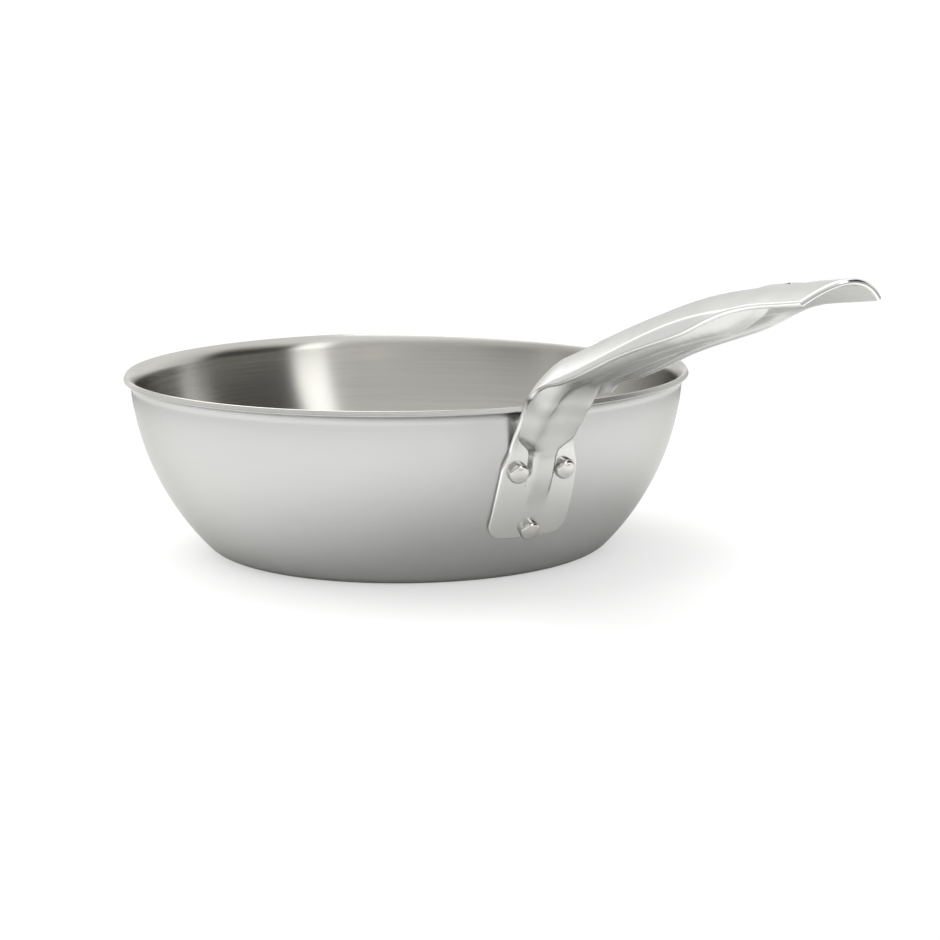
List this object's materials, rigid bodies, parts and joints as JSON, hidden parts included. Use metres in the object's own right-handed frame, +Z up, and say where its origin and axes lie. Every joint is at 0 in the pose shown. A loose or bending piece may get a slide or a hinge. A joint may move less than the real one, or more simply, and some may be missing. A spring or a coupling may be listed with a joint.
{
  "type": "saute pan",
  "caption": "Round saute pan of clad sheet with a curved wall, a rolled-out pouring rim and a long stamped, channelled handle riveted to its side.",
  "frame": {"origin": "centre of the flat underside of the base", "axes": "+Z up along the pan's axis, +X out along the handle"},
  "size_m": [0.4293, 0.24, 0.1408],
  "materials": {
    "outer_steel": "satin, brushed round the pan",
    "core_aluminium": "bare rolled edge",
    "inner_steel": "brushed round the pan",
    "handle_steel": "satin, tumbled",
    "rivet_steel": "bright"
  },
  "bodies": {
    "root": {"outer_ply": "outer_steel", "core_ply": "core_aluminium", "inner_ply": "inner_steel", "handle": "handle_steel", "rivet_upper_left": "rivet_steel", "rivet_upper_right": "rivet_steel", "rivet_lower": "rivet_steel"}
  },
  "joints": []
}
